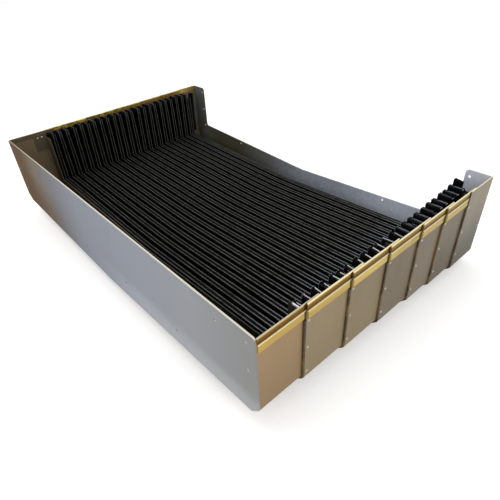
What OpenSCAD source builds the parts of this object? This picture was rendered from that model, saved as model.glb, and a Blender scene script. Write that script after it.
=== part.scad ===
// Telescopic way cover: seven nested sheet sections with hemmed edges and a gabled roof,
// closed at both ends by plates, with a pleated bellows inside them.
// The cover lies underside up, as seen from below: the roof is at the bottom.
// X runs across the cover, Y along its travel, from the near plate to the far plate.

/* [Cover] */
// Outside width of the smallest section and of the near plate
cover_w = 1000; // [700:10:1400]
// Height of the side walls above the corner bend
wall_h = 160; // [130:2:260]
// Fall of the roof towards its ridge, as height over run
roof_slope = 0.035; // [0.01:0.005:0.08]
// Width and height of the bend along the bottom corners
corner = 18; // [8:1:30]
// Free height between the roofs of two neighbouring sections
roof_gap = 3; // [2:0.5:8]

/* [Sheet] */
// Thickness of the section sheets
sheet = 1.2; // [0.8:0.1:3]
// Height of the folded hem along the top edges
hem_h = 9; // [7:1:24]
// Running gap between pieces that slide on each other
slide_gap = 0.3; // [0.2:0.05:0.6]
// Length of each section that stays inside the next one when pulled out
overlap = 28; // [24:1:60]

/* [Showing lengths] */
// Showing length of section 1, with the near plate
show_1 = 98; // [80:1:160]
// Showing length of section 2
show_2 = 101; // [60:1:160]
// Showing length of section 3
show_3 = 96; // [60:1:160]
// Showing length of section 4
show_4 = 94; // [60:1:160]
// Showing length of section 5
show_5 = 78; // [60:1:160]
// Showing length of section 6
show_6 = 86; // [60:1:160]
// Showing length of section 7, to the far plate's outer face
show_7 = 92; // [80:1:200]

/* [Guide strips] */
// Thickness of the brass strips folded over the sections' top edges
inner_strip_t = 0.7; // [0.5:0.1:2]
// Height of the brass strips on the outside of the sections
outer_strip_h = 16; // [6:1:20]
// Distance from the hem down to the outside strips
strip_drop = 5; // [4:0.5:12]

/* [Wipers] */
// Length of wiper clamped inside each section
wiper_l = 12; // [10:1:20]
// Length of the lip in front of the sheet
lip_l = 4; // [2:0.5:8]
// Distance from a section's front edge to its row of rivets
rivet_back = 5; // [4:0.5:7]
// Distance between the roof rivets
roof_rivet_pitch = 160; // [80:5:200]
// Radius of the rivet heads
rivet_head_r = 2.6; // [2:0.1:4]
// Radius of the rivet shanks
rivet_r = 1.6; // [1:0.1:2]

/* [End plates] */
// Thickness of the near plate and of the far plate
plate_t = 3; // [2:0.5:6]
// Radius of the near plate's top corners
plate_corner_r = 5; // [4:1:20]
// Radius of the near plate's fixing holes
near_hole_r = 2.5; // [2:0.1:4]
// Distance between the holes of the near plate's top row of six
top_pitch = 165; // [80:1:180]
// Distance between the holes of the near plate's bottom row of four
bottom_pitch = 188; // [80:1:200]
// Distance from the plate's side edges to its rows of rivets
side_row = 18; // [12:1:30]
// Half width of the cut-out in the far plate
cut_w = 465; // [300:5:640]
// Height of the cut-out's edge at its middle
cut_z = 5; // [4:1:40]
// Rise of the cut-out's edge towards the sides, as height over run
cut_slope = 0.054; // [0.035:0.001:0.08]
// Radius of the far plate's fixing holes
far_hole_r = 3; // [2:0.1:6]
// Distance from the cut-out to the holes in the far plate's legs
leg_hole_in = 10; // [8:1:20]
// Distance between the holes in each leg of the far plate
leg_pitch = 58; // [40:1:80]
// Distance between the two holes in the far plate's web
web_pitch = 560; // [200:10:700]

/* [Bellows] */
// Number of pleats
pleats = 23; // [12:1:40]
// Depth of the pleats
pleat_d = 31; // [20:1:45]
// Share of the pitch taken by the flat crest
crest_share = 0.6; // [0.4:0.05:0.7]
// Run of each pleat's side along the travel
side_run = 1.5; // [0.5:0.1:3]
// Thickness of the bellows skin
skin = 1.2; // [0.6:0.1:1.6]
// Gap between the bellows and section 1
bellows_gap = 2; // [1:0.5:6]
// Distance from the near plate's outer face to the bellows
bellows_start = 100; // [90:1:130]
// Distance from the bellows' far end to the far plate's outer face
bellows_end = 62; // [40:1:100]
// Drop of the pleat tops below the section edges
pleat_drop = 10; // [4:1:30]

/* [Frames] */
// Thickness of the bellows frames
frame_t = 2; // [1:0.5:4]
// Room left between section 6's far end and the bellows' far frame
end_room = 8.5; // [8:0.5:20]
// Reach of the rear frames into the bellows folds
frame_reach = 12; // [6:1:20]
// Length of the near frame's brackets along the walls
bracket_l = 36; // [30:1:50]
// Height of the near frame's brackets
bracket_h = 44; // [30:1:70]
// Thickness of the brackets and tabs
bracket_t = 2; // [1:0.5:3]
// Reach of section 1's tabs behind the near plate
tab_w = 32; // [26:1:50]

/* [Hidden] */
$fn = 24;
SECTIONS = 7;
show = [show_1, show_2, show_3, show_4, show_5, show_6, show_7];
side_gap = sheet + inner_strip_t + slide_gap;
side_step = sheet + side_gap;
roof_step = sheet + roof_gap;
outer_strip_t = side_gap - slide_gap;
hem_z = wall_h - hem_h;
strip_z = hem_z - strip_drop - outer_strip_h;
wiper_top = strip_z - 3;
frame_top = strip_z + outer_strip_h - 4;
fit_gap = 0.1;
fall = sqrt(1 + roof_slope * roof_slope);
cover_l = section_front(SECTIONS + 1);
lift = -ridge_z(SECTIONS, 0);
pitch = (bellows_far() - bellows_start) / pleats;
crest_l = crest_share * pitch;
valley_l = pitch - crest_l - 2 * side_run;
skin_shift = skin * tan(atan2(pleat_d - skin, side_run) / 2);
bellows_x = cover_w / 2 - sheet - bellows_gap;
bellows_ridge = ridge_z(1, sheet) + bellows_gap;
head_h = 1.2;
head_sink = 0.3;
wall_rivet_z = [wiper_top - 3, wiper_top / 2 + 2, 8];
side_row_z = [20, 82, 141];
top_row_z = 132;
bottom_row_z = 10;
frame_rivet_y = [bellows_start - 25, bellows_start - 13];
far_tab_l = 16;
far_tab_z = [30, 134];
far_rivet_z = [46, 118];

SECTION_COLOUR = "#9c8f78";
BRASS = "#cda94a";
WIPER_COLOUR = "#4b3d22";
STEEL = "#a9abb0";
ZINC = "#8f959e";

// Position of a section's front edge; one past the last gives the cover's length
function section_front(k) = k <= 1 ? 0 : section_front(k - 1) + show[k - 2];

// Position of a section's far end
function section_end(k) =
    k == SECTIONS ? cover_l : min(section_front(k + 1) + overlap, bellows_far() - end_room);

// Middle of the last bellows crest that still has room for a rear frame inside section k
function rear_frame_y(k) =
    let (last = floor((section_end(k) - frame_t / 2 - bellows_start) / pitch + 0.5))
    bellows_start + (last - 0.5) * pitch;
function bellows_far() = cover_l - bellows_end;

function half_w(k) = cover_w / 2 + (k - 1) * side_step;
function bend_z(k) = -(k - 1) * roof_step;
function ridge_z(k, e) = bend_z(k) - corner - roof_slope * (half_w(k) - corner) + e * fall;

// Cross-section of section k, moved inwards by e: an open trough from left edge to right edge
function trough(k, e, top) =
    let (
        x = half_w(k) - e,
        bend_top = bend_z(k) + e * (sqrt(2) - 1),
        bend_x = (half_w(k) - e * sqrt(2) - corner - roof_slope * (half_w(k) - corner) + e * fall)
            / (1 - roof_slope),
        bend_bottom = ridge_z(k, e) + roof_slope * bend_x
    )
    [[-x, top], [-x, bend_top], [-bend_x, bend_bottom], [0, ridge_z(k, e)],
     [bend_x, bend_bottom], [x, bend_top], [x, top]];

// Cross-section of the bellows, d inwards from its outer folds
function fold(d) =
    let (
        x = bellows_x - d,
        low = bellows_ridge + roof_slope * x + d,
        c = max(0.6, corner - d * (2 - sqrt(2)))
    )
    [[-x, fold_top()], [-x, low + c], [-x + c, low - roof_slope * c], [0, bellows_ridge + d],
     [x - c, low - roof_slope * c], [x, low + c], [x, fold_top()]];
function fold_top() = wall_h - pleat_drop;
function cut_top(points, top) = [for (p = points) [p[0], p[1] > top ? top : p[1]]];
function backwards(list) = [for (i = [len(list) - 1:-1:0]) list[i]];
function mirrored(list) = [for (p = backwards(list)) [-p[0], p[1]]];
function shape_between(outer, inner) = concat(outer, backwards(inner));

// Points of an arc over section k's top edge, from angle a0 to a1
function over_edge(k, r, a0, a1) =
    [for (i = [0:abs(a1 - a0) / 30])
        let (a = a0 + 30 * i * sign(a1 - a0)) [half_w(k) + r * cos(a), wall_h - sheet + r * sin(a)]];

// The hem: the sheet is folded outwards and down over itself
function hem(k) = concat(
    [[half_w(k), hem_z], [half_w(k) + sheet, hem_z]],
    over_edge(k, sheet, 0, 180)
);

module placed() {
    translate([0, -cover_l / 2, lift]) children();
}

// Extrudes an outline in X and Z along the travel, from y0 to y1
module along(y0, y1) {
    translate([0, y1, 0]) rotate([90, 0, 0]) linear_extrude(y1 - y0) children();
}

// Puts something that points along +Z at a wall or roof rivet's place, pointing outwards
module at_wall_rivets(k) {
    for (side = [-1, 1], z = wall_rivet_z)
        translate([side * half_w(k), section_front(k) + rivet_back, z])
            rotate([0, side * 90, 0]) children();
}

module at_roof_rivets(k) {
    for (side = [-1, 1], i = [0:2]) {
        x = (i + 0.5) * roof_rivet_pitch;
        translate([side * x, section_front(k) + rivet_back, ridge_z(k, 0) + roof_slope * x])
            rotate([0, 180 - side * atan(roof_slope), 0]) children();
    }
}

// Hole through everything within depth under a rivet's head
module rivet_hole(depth) {
    translate([0, 0, -depth - 1]) cylinder(r = rivet_r + fit_gap, h = depth + 2);
}

// Domed rivet: its head stands on the surface at z = 0, its shank goes down by depth
module rivet(depth) {
    rotate_extrude()
        polygon(concat(
            [[0, -depth], [rivet_r, -depth], [rivet_r, 0], [rivet_head_r, 0]],
            [for (a = [0:30:90]) [rivet_head_r * cos(a), 0.3 + (head_h - 0.3) * sin(a)]]
        ));
}

// Row of through holes or pins along Y, at each of the given x and z
module at_points(points, y) {
    for (p = points) translate([p[0], y, p[1]]) rotate([-90, 0, 0]) children();
}

function row(n, step, z) = [for (i = [0:n - 1]) [(i - (n - 1) / 2) * step, z]];
function both_sides(x, heights) = [for (side = [-1, 1], z = heights) [side * x, z]];

function side_points() = both_sides(half_w(1) - side_row, side_row_z);
function leg_points() =
    both_sides(cut_w + leg_hole_in, [for (i = [0:2]) wall_h - 15 - i * leg_pitch]);
function web_points() = row(2, web_pitch, cut_z + cut_slope * web_pitch / 2 - 9);

// Section 7's edges are plain, those of the others have a hem
module section_outline(k) {
    if (k == SECTIONS)
        polygon(shape_between(trough(k, 0, wall_h), trough(k, sheet, wall_h)));
    else
        polygon(concat(
            mirrored(hem(k)),
            [for (i = [1:5]) trough(k, 0, wall_h)[i]],
            hem(k),
            [for (i = [5:-1:1]) trough(k, sheet, wall_h)[i]]
        ));
}

module section(k) {
    y0 = k == 1 ? plate_t : section_front(k);
    color(SECTION_COLOUR) placed() difference() {
        union() {
            along(y0, section_end(k)) section_outline(k);
            if (k == 1) section_tabs();
        }
        if (k > 1) {
            at_wall_rivets(k) rivet_hole(sheet);
            at_roof_rivets(k) rivet_hole(sheet);
        }
        if (k == 1) {
            at_points(side_points(), 0) cylinder(r = rivet_r + fit_gap, h = plate_t + sheet + 1);
            at_frame_rivets() rivet_hole(bracket_t + sheet);
        }
        if (k == SECTIONS) at_far_rivets() rivet_hole(sheet + bracket_t);
    }
}

// Tabs folded inwards at section 1's front end, riveted to the near plate
module section_tabs() {
    x1 = half_w(1) - sheet / 2;
    x0 = x1 - tab_w;
    for (side = [-1, 1])
        along(plate_t, plate_t + sheet)
            polygon([[side * x0, 8], [side * (x0 + 6), 2], [side * x1, 2],
                     [side * x1, hem_z], [side * (x0 + 6), hem_z], [side * x0, hem_z - 6]]);
}

module near_plate() {
    r = plate_corner_r;
    w = half_w(1);
    color(STEEL) placed() difference() {
        along(0, plate_t) polygon(concat(
            [for (i = [1:5]) trough(1, 0, wall_h)[i]],
            [for (a = [0:15:90]) [w - r + r * cos(a), wall_h - r + r * sin(a)]],
            [for (a = [90:15:180]) [r - w + r * cos(a), wall_h - r + r * sin(a)]]
        ));
        at_points(row(6, top_pitch, top_row_z), -1) cylinder(r = near_hole_r, h = plate_t + 2);
        at_points(row(4, bottom_pitch, bottom_row_z), -1) cylinder(r = near_hole_r, h = plate_t + 2);
        at_points(side_points(), -1) cylinder(r = rivet_r + fit_gap, h = plate_t + 2);
        at_points(side_points(), -1)
            cylinder(r = rivet_head_r + fit_gap, h = 1 + head_h + head_sink);
    }
}

// Sunk rivets through the near plate and section 1's tabs, with a set head behind
module near_plate_rivets() {
    back = plate_t + sheet;
    color(ZINC) placed() at_points(side_points(), 0) {
        translate([0, 0, head_sink]) cylinder(r = rivet_head_r, h = head_h);
        cylinder(r = rivet_r, h = back + head_h);
        translate([0, 0, back]) cylinder(r = rivet_head_r, h = head_h);
    }
}

// Brass strips on the outside of both walls, on which the next section slides
module outer_strip(k) {
    y0 = k == 1 ? plate_t + 1 : section_front(k) + 1;
    bevel = outer_strip_t / 4;
    x0 = half_w(k);
    x1 = x0 + outer_strip_t;
    color(BRASS) placed() for (side = [-1, 1])
        along(y0, section_end(k)) polygon([
            [side * x0, strip_z], [side * (x1 - bevel), strip_z], [side * x1, strip_z + bevel],
            [side * x1, strip_z + outer_strip_h - bevel],
            [side * (x1 - bevel), strip_z + outer_strip_h], [side * x0, strip_z + outer_strip_h]
        ]);
}

// Brass strips folded over both top edges, whose inner leg runs on the hem of the section before
module inner_strip(k) {
    y1 = k == SECTIONS ? cover_l - plate_t - 1 : section_end(k);
    color(BRASS) placed() for (side = [-1, 1])
        along(section_front(k) + 1, y1)
            polygon([for (p = edge_strip(k)) [side * p[0], p[1]]]);
}

// Right cross-section of section k's brass strip: over the hem, or over section 7's plain edge
function edge_strip(k) =
    let (
        x1 = half_w(k) - sheet,
        x0 = x1 - inner_strip_t,
        low = strip_z + outer_strip_h + 1
    )
    k == SECTIONS
        ? [[x1, low], [x0, low], [x0, wall_h + inner_strip_t],
           [half_w(k), wall_h + inner_strip_t], [half_w(k), wall_h], [x1, wall_h]]
        : concat([[x1, low], [x0, low]], over_edge(k, sheet + inner_strip_t, 180, 60),
                 over_edge(k, sheet, 60, 180));

// Wiper: clamped under the sheet's front edge, with a lip that fills the step in front of it
module wiper(k) {
    y0 = section_front(k);
    inner = trough(k - 1, -slide_gap, wiper_top);
    color(WIPER_COLOUR) placed() difference() {
        union() {
            along(y0, y0 + wiper_l) polygon(shape_between(trough(k, sheet, wiper_top), inner));
            along(y0 - lip_l, y0) polygon(shape_between(trough(k, 0, wiper_top), inner));
        }
        at_wall_rivets(k) rivet_hole(side_step);
        at_roof_rivets(k) rivet_hole(roof_step);
    }
}

module wiper_rivets(k) {
    color(STEEL) placed() {
        at_wall_rivets(k) rivet(side_step - slide_gap - fit_gap);
        at_roof_rivets(k) rivet(roof_step - slide_gap - fit_gap);
    }
}

// Rear frame: stiffens a section near its far end and stands in a fold of the bellows
module rear_frame(k) {
    color(ZINC) placed() along(rear_frame_y(k) - frame_t / 2, rear_frame_y(k) + frame_t / 2)
        polygon(shape_between(
            trough(k, sheet, frame_top), cut_top(fold(frame_reach), frame_top)));
}

// One ring of skin points at y, d inwards from the outer folds
function ring(y, d) = [for (p = fold(d)) [p[0], y, p[1]]];

// Rings of the skin's upper face, or with shift of its lower face
function skin_rings(low, high, shift) = concat(
    [ring(bellows_start, low)],
    [for (i = [0:pleats - 1], j = [0:3])
        let (
            y = bellows_start + i * pitch,
            at = [valley_l / 2 + shift, valley_l / 2 + side_run + shift,
                  valley_l / 2 + side_run + crest_l - shift,
                  valley_l / 2 + 2 * side_run + crest_l - shift],
            d = j == 1 || j == 2 ? high : low
        ) ring(y + at[j], d)],
    [ring(bellows_far(), low)]
);

// Pleated skin of even thickness: two stacks of rings, joined at both ends and along the tops
module bellows() {
    upper = skin_rings(skin, pleat_d, 0);
    lower = skin_rings(0, pleat_d - skin, skin_shift);
    n = len(upper);
    m = len(upper[0]);
    low0 = n * m;
    last = (n - 1) * m;
    points = concat([for (r = upper) each r], [for (r = lower) each r]);
    faces = concat(
        [for (i = [0:n - 2], j = [0:m - 2]) let (a = i * m + j) [a, a + 1, a + m + 1, a + m]],
        [for (i = [0:n - 2], j = [0:m - 2]) let (a = low0 + i * m + j)
            [a, a + m, a + m + 1, a + 1]],
        [for (i = [0:n - 2]) let (a = i * m) [a, a + m, a + m + low0, a + low0]],
        [for (i = [0:n - 2]) let (a = i * m + m - 1) [a, a + low0, a + m + low0, a + m]],
        [for (j = [0:m - 2]) [j, j + low0, j + 1 + low0, j + 1]],
        [for (j = [0:m - 2]) let (a = last + j) [a, a + 1, a + 1 + low0, a + low0]]
    );
    color("#1d1e20") placed() polyhedron(points, faces, convexity = 10);
}

// Near frame: the bellows' fixed end, on brackets riveted to section 1's walls
module near_bellows_frame() {
    x1 = half_w(1) - sheet;
    color(ZINC) placed() difference() {
        union() {
            along(bellows_start - frame_t, bellows_start)
                polygon(shape_between(
                    trough(1, sheet, frame_top), cut_top(fold(pleat_d), frame_top)));
            for (side = [-1, 1])
                translate([side * (x1 - bracket_t / 2), bellows_start - bracket_l / 2,
                           frame_rivet_top() - bracket_h / 2])
                    cube([bracket_t, bracket_l, bracket_h], center = true);
        }
        at_frame_rivets() rivet_hole(bracket_t + sheet);
    }
}
function frame_rivet_top() = hem_z + 1;
function frame_rivet_z() = hem_z - 7.5;

// Rivets that go from inside through the near frame's brackets and section 1's walls
module at_frame_rivets() {
    for (side = [-1, 1], y = frame_rivet_y)
        translate([side * (half_w(1) - sheet - bracket_t), y, frame_rivet_z()])
            rotate([0, -side * 90, 0]) children();
}

module near_frame_rivets() {
    color(STEEL) placed() at_frame_rivets() rivet(bracket_t + sheet - fit_gap);
}

// Far frame: the bellows' moving end, welded to section 7 by a flange on each side
module far_bellows_frame() {
    y0 = bellows_far() + fit_gap;
    x1 = half_w(SECTIONS) - sheet;
    color(ZINC) placed() {
        along(y0, y0 + frame_t)
            polygon(shape_between(
                trough(SECTIONS, sheet, frame_top), cut_top(fold(pleat_d), frame_top)));
        for (side = [-1, 1])
            translate([side * (x1 - bracket_t / 2), y0 + bracket_h / 5, wall_h / 2])
                cube([bracket_t, bracket_h / 2.5, wall_h / 2], center = true);
    }
}

// Far plate: closes section 7's end, with a wide cut-out for the machine's way
module far_plate() {
    r = 8;
    edge = cut_z + cut_slope * cut_w;
    x1 = half_w(SECTIONS) - sheet;
    color(ZINC) placed() difference() {
        union() {
            along(cover_l - plate_t, cover_l) polygon(concat(
                trough(SECTIONS, sheet, wall_h),
                [for (a = [90:15:180]) [cut_w + r + r * cos(a), wall_h - r + r * sin(a)]],
                [for (a = [0:-15:-90]) [cut_w - r + r * cos(a), edge + r + r * sin(a)]],
                [[30, cut_z + cut_slope * 30], [0, cut_z + cut_slope * 10],
                 [-30, cut_z + cut_slope * 30]],
                [for (a = [270:-15:180]) [r - cut_w + r * cos(a), edge + r + r * sin(a)]],
                [for (a = [0:15:90]) [-cut_w - r + r * cos(a), wall_h - r + r * sin(a)]]
            ));
            for (side = [-1, 1])
                translate([side * (x1 - bracket_t / 2), cover_l - far_tab_l / 2,
                           (far_tab_z[0] + far_tab_z[1]) / 2])
                    cube([bracket_t, far_tab_l, far_tab_z[1] - far_tab_z[0]], center = true);
        }
        at_points(leg_points(), cover_l - plate_t - 1) cylinder(r = far_hole_r, h = plate_t + 2);
        at_points(web_points(), cover_l - plate_t - 1) cylinder(r = far_hole_r, h = plate_t + 2);
        at_far_rivets() rivet_hole(sheet + bracket_t);
    }
}

module at_far_rivets() {
    for (side = [-1, 1], z = far_rivet_z)
        translate([side * half_w(SECTIONS), cover_l - plate_t - 6, z])
            rotate([0, side * 90, 0]) children();
}

module far_plate_rivets() {
    color(STEEL) placed() at_far_rivets() rivet(sheet + bracket_t);
}

near_plate();
near_plate_rivets();
for (k = [1:SECTIONS]) {
    section(k);
}
for (k = [1:SECTIONS - 1]) {
    outer_strip(k);
}
for (k = [2:SECTIONS]) {
    inner_strip(k);
    wiper(k);
    wiper_rivets(k);
}
for (k = [2:SECTIONS - 1]) {
    rear_frame(k);
}
near_bellows_frame();
near_frame_rivets();
bellows();
far_bellows_frame();
far_plate();
far_plate_rivets();
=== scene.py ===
# Looks of the telescopic way cover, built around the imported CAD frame.
import math
import random

import bmesh
import bpy
from mathutils import Matrix, Vector, noise


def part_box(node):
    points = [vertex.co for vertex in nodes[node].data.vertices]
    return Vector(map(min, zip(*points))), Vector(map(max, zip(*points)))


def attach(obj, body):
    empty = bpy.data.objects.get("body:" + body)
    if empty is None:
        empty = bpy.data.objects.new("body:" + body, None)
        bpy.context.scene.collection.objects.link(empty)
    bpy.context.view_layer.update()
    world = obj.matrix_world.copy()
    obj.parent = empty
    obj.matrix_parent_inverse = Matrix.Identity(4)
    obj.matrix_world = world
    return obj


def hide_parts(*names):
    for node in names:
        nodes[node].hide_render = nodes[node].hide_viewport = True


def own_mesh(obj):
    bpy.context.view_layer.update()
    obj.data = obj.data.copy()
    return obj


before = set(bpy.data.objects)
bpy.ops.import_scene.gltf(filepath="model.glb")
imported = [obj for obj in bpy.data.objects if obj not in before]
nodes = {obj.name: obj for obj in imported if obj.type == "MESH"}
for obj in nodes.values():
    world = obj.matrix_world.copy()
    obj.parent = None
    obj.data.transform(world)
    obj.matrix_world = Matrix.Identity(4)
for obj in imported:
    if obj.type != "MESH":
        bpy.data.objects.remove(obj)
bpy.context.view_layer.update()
scene = bpy.context.scene
mm = 0.001


# helpers that keep the shader trees short
def newMaterial(name):
    material = bpy.data.materials.new(name)
    material.use_nodes = True
    tree = material.node_tree
    return material, tree, tree.nodes["Principled BSDF"]


def fillInputs(tree, node, inputs):
    for key, value in inputs.items():
        if isinstance(value, bpy.types.NodeSocket):
            tree.links.new(value, node.inputs[key])
        else:
            node.inputs[key].default_value = value
    return node


def addNode(tree, kind, inputs=None, **settings):
    node = tree.nodes.new(kind)
    for key, value in settings.items():
        setattr(node, key, value)
    return fillInputs(tree, node, inputs or {})


def addMath(tree, operation, first, second=None, clamp=False):
    inputs = {0: first} if second is None else {0: first, 1: second}
    return addNode(tree, "ShaderNodeMath", inputs, operation=operation, use_clamp=clamp).outputs[0]


def addRange(tree, value, low, high, toLow=0.0, toHigh=1.0, smooth=True):
    inputs = {"Value": value, "From Min": low, "From Max": high, "To Min": toLow, "To Max": toHigh}
    kind = "SMOOTHSTEP" if smooth else "LINEAR"
    return addNode(tree, "ShaderNodeMapRange", inputs, interpolation_type=kind).outputs["Result"]


def mixColour(tree, factor, first, second, blend="MIX"):
    node = tree.nodes.new("ShaderNodeMix")
    node.data_type = "RGBA"
    node.blend_type = blend
    for key, value in (("Factor_Float", factor), ("A_Color", first), ("B_Color", second)):
        socket = next(s for s in node.inputs if s.identifier == key)
        if isinstance(value, bpy.types.NodeSocket):
            tree.links.new(value, socket)
        else:
            socket.default_value = value
    return next(s for s in node.outputs if s.identifier == "Result_Color")


def layOver(tree, base, colour, mask, share):
    return mixColour(tree, addMath(tree, "MULTIPLY", mask, share), base, colour)


def addRamp(tree, factor, stops):
    node = addNode(tree, "ShaderNodeValToRGB", {"Fac": factor})
    ramp = node.color_ramp
    while len(ramp.elements) < len(stops):
        ramp.elements.new(0.5)
    for element, (place, colour) in zip(ramp.elements, stops):
        element.position = place
        element.color = colour
    return node.outputs["Color"]


def shade(red, green, blue):  # sRGB 0-255 to a linear colour
    def linear(value):
        value = value / 255
        return value / 12.92 if value <= 0.04045 else ((value + 0.055) / 1.055) ** 2.4
    return (linear(red), linear(green), linear(blue), 1.0)


def newGroup(name, inputs, outputs):
    group = bpy.data.node_groups.new(name, "ShaderNodeTree")
    for label, kind, value in inputs:
        socket = group.interface.new_socket(label, in_out="INPUT", socket_type=kind)
        if value is not None:
            socket.default_value = value
    for label, kind in outputs:
        group.interface.new_socket(label, in_out="OUTPUT", socket_type=kind)
    start = group.nodes.new("NodeGroupInput")
    end = group.nodes.new("NodeGroupOutput")
    return group, start.outputs, end.inputs


def useGroup(tree, group, inputs):
    node = tree.nodes.new("ShaderNodeGroup")
    node.node_tree = group
    return fillInputs(tree, node, inputs).outputs


def objectPlace(tree):
    return addNode(tree, "ShaderNodeTexCoord").outputs["Object"]


def bumpFrom(tree, height, strength, distance):
    inputs = {"Height": height, "Strength": strength, "Distance": distance}
    return addNode(tree, "ShaderNodeBump", inputs).outputs["Normal"]


# effects that several materials share
floatSocket, vectorSocket = "NodeSocketFloat", "NodeSocketVector"


def makeRolledGrain():
    group, given, out = newGroup(
        "rolledGrain",
        [("Place", vectorSocket, None), ("Stretch", vectorSocket, (1, 1, 1)),
         ("Scale", floatSocket, 400)],
        [("Grain", floatSocket), ("Band", floatSocket)])
    tree = group
    stretched = addNode(tree, "ShaderNodeVectorMath", {0: given["Place"], 1: given["Stretch"]},
                        operation="MULTIPLY").outputs[0]
    fine = addNode(tree, "ShaderNodeTexNoise",
                   {"Vector": stretched, "Scale": given["Scale"], "Detail": 4, "Roughness": 0.6})
    broadScale = addMath(tree, "MULTIPLY", given["Scale"], 0.06)
    broad = addNode(tree, "ShaderNodeTexNoise",
                    {"Vector": stretched, "Scale": broadScale, "Detail": 2, "Roughness": 0.5})
    tree.links.new(fine.outputs["Fac"], out["Grain"])
    tree.links.new(broad.outputs["Fac"], out["Band"])
    return group


def makeZincSpangle():
    group, given, out = newGroup(
        "zincSpangle",
        [("Place", vectorSocket, None), ("Scale", floatSocket, 90)],
        [("Flake", floatSocket), ("Mottle", floatSocket)])
    tree = group
    wobble = addNode(tree, "ShaderNodeTexNoise",
                     {"Vector": given["Place"], "Scale": 160, "Detail": 2})
    bend = addNode(tree, "ShaderNodeVectorMath",
                   {0: wobble.outputs["Color"], 1: (0.006, 0.006, 0.006)},
                   operation="MULTIPLY").outputs[0]
    bent = addNode(tree, "ShaderNodeVectorMath", {0: given["Place"], 1: bend},
                   operation="ADD").outputs[0]
    cells = addNode(tree, "ShaderNodeTexVoronoi", {"Vector": bent, "Scale": given["Scale"]})
    flake = addNode(tree, "ShaderNodeSeparateColor", {"Color": cells.outputs["Color"]}).outputs[0]
    smallScale = addMath(tree, "MULTIPLY", given["Scale"], 3.1)
    small = addNode(tree, "ShaderNodeTexNoise", {"Vector": bent, "Scale": smallScale, "Detail": 3})
    tree.links.new(flake, out["Flake"])
    tree.links.new(small.outputs["Fac"], out["Mottle"])
    return group


def makeHandlingMarks():
    group, given, out = newGroup(
        "handlingMarks",
        [("Place", vectorSocket, None), ("Size", floatSocket, 9), ("Cover", floatSocket, 0.5)],
        [("Smudge", floatSocket), ("Scratch", floatSocket)])
    tree = group
    broad = addNode(tree, "ShaderNodeTexNoise",
                    {"Vector": given["Place"], "Scale": given["Size"], "Detail": 5,
                     "Roughness": 0.55, "Distortion": 0.6})
    edge = addMath(tree, "SUBTRACT", 0.78, addMath(tree, "MULTIPLY", given["Cover"], 0.5))
    smudge = addRange(tree, broad.outputs["Fac"], edge, addMath(tree, "ADD", edge, 0.16))
    turned = addNode(tree, "ShaderNodeMapping",
                     {"Vector": given["Place"], "Rotation": (0.5, 0.9, 0.7),
                      "Scale": (14, 210, 160)})
    lines = addNode(tree, "ShaderNodeTexNoise",
                    {"Vector": turned.outputs[0], "Scale": 1.0, "Detail": 2, "Roughness": 0.5})
    scratch = addRange(tree, lines.outputs["Fac"], 0.68, 0.73)
    tree.links.new(smudge, out["Smudge"])
    tree.links.new(scratch, out["Scratch"])
    return group


def makeClothWeave():
    group, given, out = newGroup(
        "clothWeave",
        [("Place", vectorSocket, None), ("Threads", floatSocket, 1400)],
        [("Weave", floatSocket), ("Dust", floatSocket)])
    tree = group
    across = addNode(tree, "ShaderNodeTexWave",
                     {"Vector": given["Place"], "Scale": given["Threads"]},
                     bands_direction="X")
    along = addNode(tree, "ShaderNodeTexWave",
                     {"Vector": given["Place"], "Scale": given["Threads"]},
                    bands_direction="Y")
    woven = addMath(tree, "MULTIPLY", across.outputs["Fac"], along.outputs["Fac"])
    dust = addNode(tree, "ShaderNodeTexNoise",
                   {"Vector": given["Place"], "Scale": 55, "Detail": 5, "Roughness": 0.65})
    tree.links.new(woven, out["Weave"])
    tree.links.new(dust.outputs["Fac"], out["Dust"])
    return group


# Wall is 1 on faces that look towards the middle, Floor on low faces that look up,
# Up on high faces that look up, such as a sheet's top edge
def makeInsideMask():
    group, given, out = newGroup(
        "insideMask",
        [("Place", vectorSocket, None), ("Facing", vectorSocket, None),
         ("FloorTop", floatSocket, 0.1)],
        [("Wall", floatSocket), ("Floor", floatSocket), ("Up", floatSocket)])
    tree = group
    x, y, z = addNode(tree, "ShaderNodeSeparateXYZ", {0: given["Place"]}).outputs
    faceX, faceY, faceZ = addNode(tree, "ShaderNodeSeparateXYZ", {0: given["Facing"]}).outputs
    towardsMiddle = addMath(tree, "MULTIPLY", addMath(tree, "SIGN", x), -1.0)
    inwards = addMath(tree, "MULTIPLY", faceX, towardsMiddle)
    wall = addRange(tree, inwards, 0.3, 0.6)
    up = addRange(tree, faceZ, 0.4, 0.7)
    low = addMath(tree, "LESS_THAN", z, given["FloorTop"])
    floor = addMath(tree, "MULTIPLY", up, low)
    tree.links.new(wall, out["Wall"])
    tree.links.new(floor, out["Floor"])
    tree.links.new(addMath(tree, "MULTIPLY", up, addMath(tree, "SUBTRACT", 1.0, low)), out["Up"])
    return group


rolledGrain = makeRolledGrain()
zincSpangle = makeZincSpangle()
handlingMarks = makeHandlingMarks()
clothWeave = makeClothWeave()
insideMask = makeInsideMask()
print("effects built")


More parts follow.
